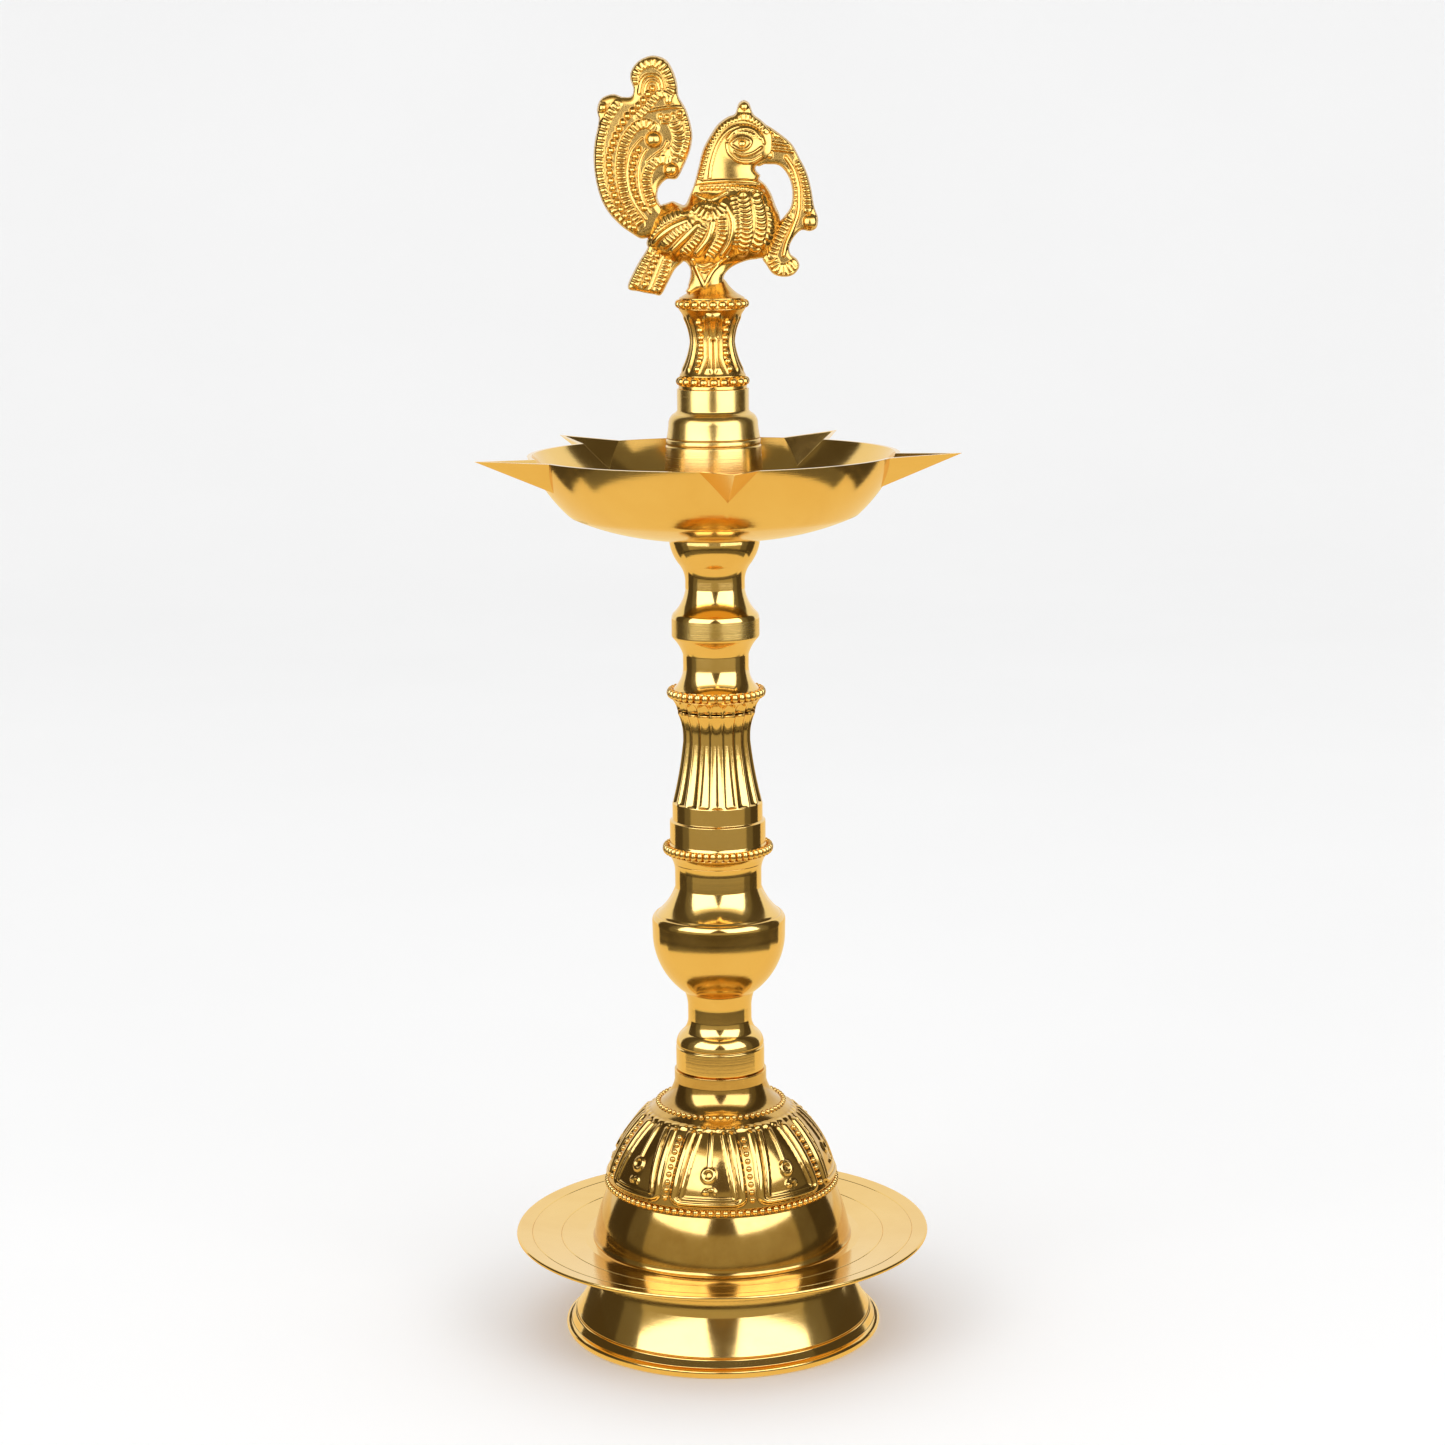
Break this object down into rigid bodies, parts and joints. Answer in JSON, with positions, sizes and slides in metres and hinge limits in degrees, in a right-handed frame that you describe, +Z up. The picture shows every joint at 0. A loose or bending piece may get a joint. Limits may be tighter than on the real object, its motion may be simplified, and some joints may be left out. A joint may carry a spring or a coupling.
{
  "type": "standing oil lamp",
  "caption": "Tall turned brass oil lamp: bell foot with drip plate, screwed stem, round bowl with pointed wick spouts, clamping collar and peacock finial.",
  "frame": {"origin": "centre of the foot's standing ring, on the table", "axes": "+Z up the lamp's axis, +X towards the side the bird faces, -Y towards the viewer in front"},
  "size_m": [0.1666, 0.1626, 0.4534],
  "materials": {
    "polished_brass": "polished, fine turning lines",
    "cast_brass": "satin casting with darker recesses",
    "screw_brass": "machined"
  },
  "bodies": {
    "base": {"foot_ring": "polished_brass", "drip_plate": "polished_brass", "bell_dome": "polished_brass"},
    "neck_screw": {"neck_stud": "screw_brass"},
    "lower_stem": {"lower_stem": "polished_brass"},
    "lower_screw": {"lower_stud": "screw_brass"},
    "middle_stem": {"middle_stem": "polished_brass"},
    "upper_screw": {"upper_stud": "screw_brass"},
    "upper_stem": {"upper_stem": "polished_brass"},
    "bowl": {"bowl": "polished_brass"},
    "bowl_screw": {"bowl_stud": "screw_brass"},
    "collar": {"collar": "polished_brass"},
    "finial_screw": {"finial_stud": "screw_brass"},
    "finial": {"finial": "cast_brass"}
  },
  "joints": [
    {"name": "neck_rise", "type": "slide", "parent": "base", "child": "neck_screw", "axis": [0, 0, 1], "range_m": [0, 0.01198]},
    {"name": "neck_turn", "type": "hinge", "parent": "neck_screw", "child": "lower_stem", "pos_m": [0, 0, 0], "axis": [0, 0, 1], "range_deg": [0, 2875]},
    {"name": "lower_rise", "type": "slide", "parent": "lower_stem", "child": "lower_screw", "axis": [0, 0, 1], "range_m": [0, 0.01198]},
    {"name": "lower_turn", "type": "hinge", "parent": "lower_screw", "child": "middle_stem", "pos_m": [0, 0, 0], "axis": [0, 0, 1], "range_deg": [0, 2875]},
    {"name": "upper_rise", "type": "slide", "parent": "middle_stem", "child": "upper_screw", "axis": [0, 0, 1], "range_m": [0, 0.01198]},
    {"name": "upper_turn", "type": "hinge", "parent": "upper_screw", "child": "upper_stem", "pos_m": [0, 0, 0], "axis": [0, 0, 1], "range_deg": [0, 2875]},
    {"name": "bowl_turn", "type": "hinge", "parent": "upper_stem", "child": "bowl", "pos_m": [0, 0, 0.2887], "axis": [0, 0, 1], "continuous": true},
    {"name": "collar_rise", "type": "slide", "parent": "upper_stem", "child": "bowl_screw", "axis": [0, 0, 1], "range_m": [0, 0.01198]},
    {"name": "collar_turn", "type": "hinge", "parent": "bowl_screw", "child": "collar", "pos_m": [0, 0, 0], "axis": [0, 0, 1], "range_deg": [0, 2875]},
    {"name": "finial_rise", "type": "slide", "parent": "collar", "child": "finial_screw", "axis": [0, 0, 1], "range_m": [0, 0.00898]},
    {"name": "finial_turn", "type": "hinge", "parent": "finial_screw", "child": "finial", "pos_m": [0, 0, 0], "axis": [0, 0, 1], "range_deg": [0, 2155]}
  ],
  "couplings": [
    {"joint": "neck_turn", "follows": "neck_rise", "rad_per_m": 4188.8},
    {"joint": "lower_turn", "follows": "lower_rise", "rad_per_m": 4188.8},
    {"joint": "upper_turn", "follows": "upper_rise", "rad_per_m": 4188.8},
    {"joint": "collar_turn", "follows": "collar_rise", "rad_per_m": 4188.8},
    {"joint": "finial_turn", "follows": "finial_rise", "rad_per_m": 4188.8}
  ]
}
